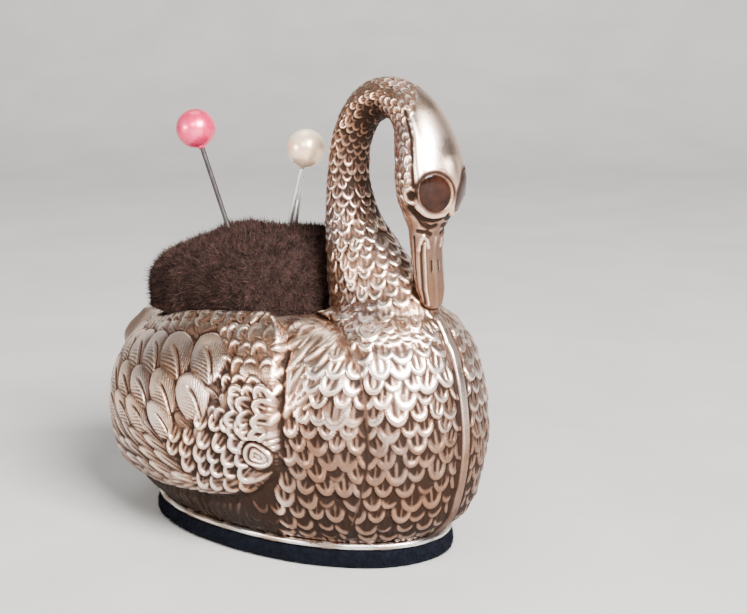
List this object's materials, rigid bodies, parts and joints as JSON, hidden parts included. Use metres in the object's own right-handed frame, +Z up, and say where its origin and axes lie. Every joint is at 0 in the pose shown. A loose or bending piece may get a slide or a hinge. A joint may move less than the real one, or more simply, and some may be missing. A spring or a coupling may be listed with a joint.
{
  "type": "pincushion",
  "caption": "Small swan-shaped stamped-silver pincushion with a brown pile cushion in its back, pearl-headed pins, a needle and a velvet-covered foot.",
  "frame": {"origin": "centre of the flat underside of the foot pad, at the foot's own middle", "axes": "+X towards the breast and beak, +Y the swan's left side, +Z up"},
  "size_m": [0.05, 0.0298, 0.0475],
  "materials": {
    "silver": "oxidised and hand-polished silver, dark in the feather roots",
    "polished_silver": "polished",
    "eye_glass": "dark garnet-brown gloss",
    "board_wood": "plain",
    "navy_velvet": "short pile",
    "wool_stuffing": "loose wool",
    "brown_velvet": "brushed wool pile",
    "steel_wire": "bright drawn wire",
    "pink_pearl": "pearl lustre",
    "cream_pearl": "pearl lustre",
    "needle_steel": "polished"
  },
  "bodies": {
    "swan": {"body_shell_right": "silver", "body_shell_left": "silver", "breast_neck_right": "silver", "breast_neck_left": "silver", "foot_rim": "polished_silver", "eye_right": "eye_glass", "eye_left": "eye_glass", "base_board": "board_wood", "base_cover": "navy_velvet", "stuffing": "wool_stuffing", "cushion_cover": "brown_velvet"},
    "pink_pin": {"pink_pin_shank": "steel_wire", "pink_pin_head": "pink_pearl"},
    "cream_pin": {"cream_pin_shank": "steel_wire", "cream_pin_head": "cream_pearl"},
    "needle": {"needle": "needle_steel"}
  },
  "joints": [
    {"name": "pink_pin_slide", "type": "slide", "parent": "swan", "child": "pink_pin", "axis": [-0.4226, 0, 0.9063], "range_m": [-0.0077, 0.0174]},
    {"name": "cream_pin_slide", "type": "slide", "parent": "swan", "child": "cream_pin", "axis": [0.2924, 0, 0.9563], "range_m": [-0.0056, 0.0194]},
    {"name": "needle_slide", "type": "slide", "parent": "swan", "child": "needle", "axis": [0.225, 0, 0.9744], "range_m": [-0.0045, 0.0204]}
  ]
}
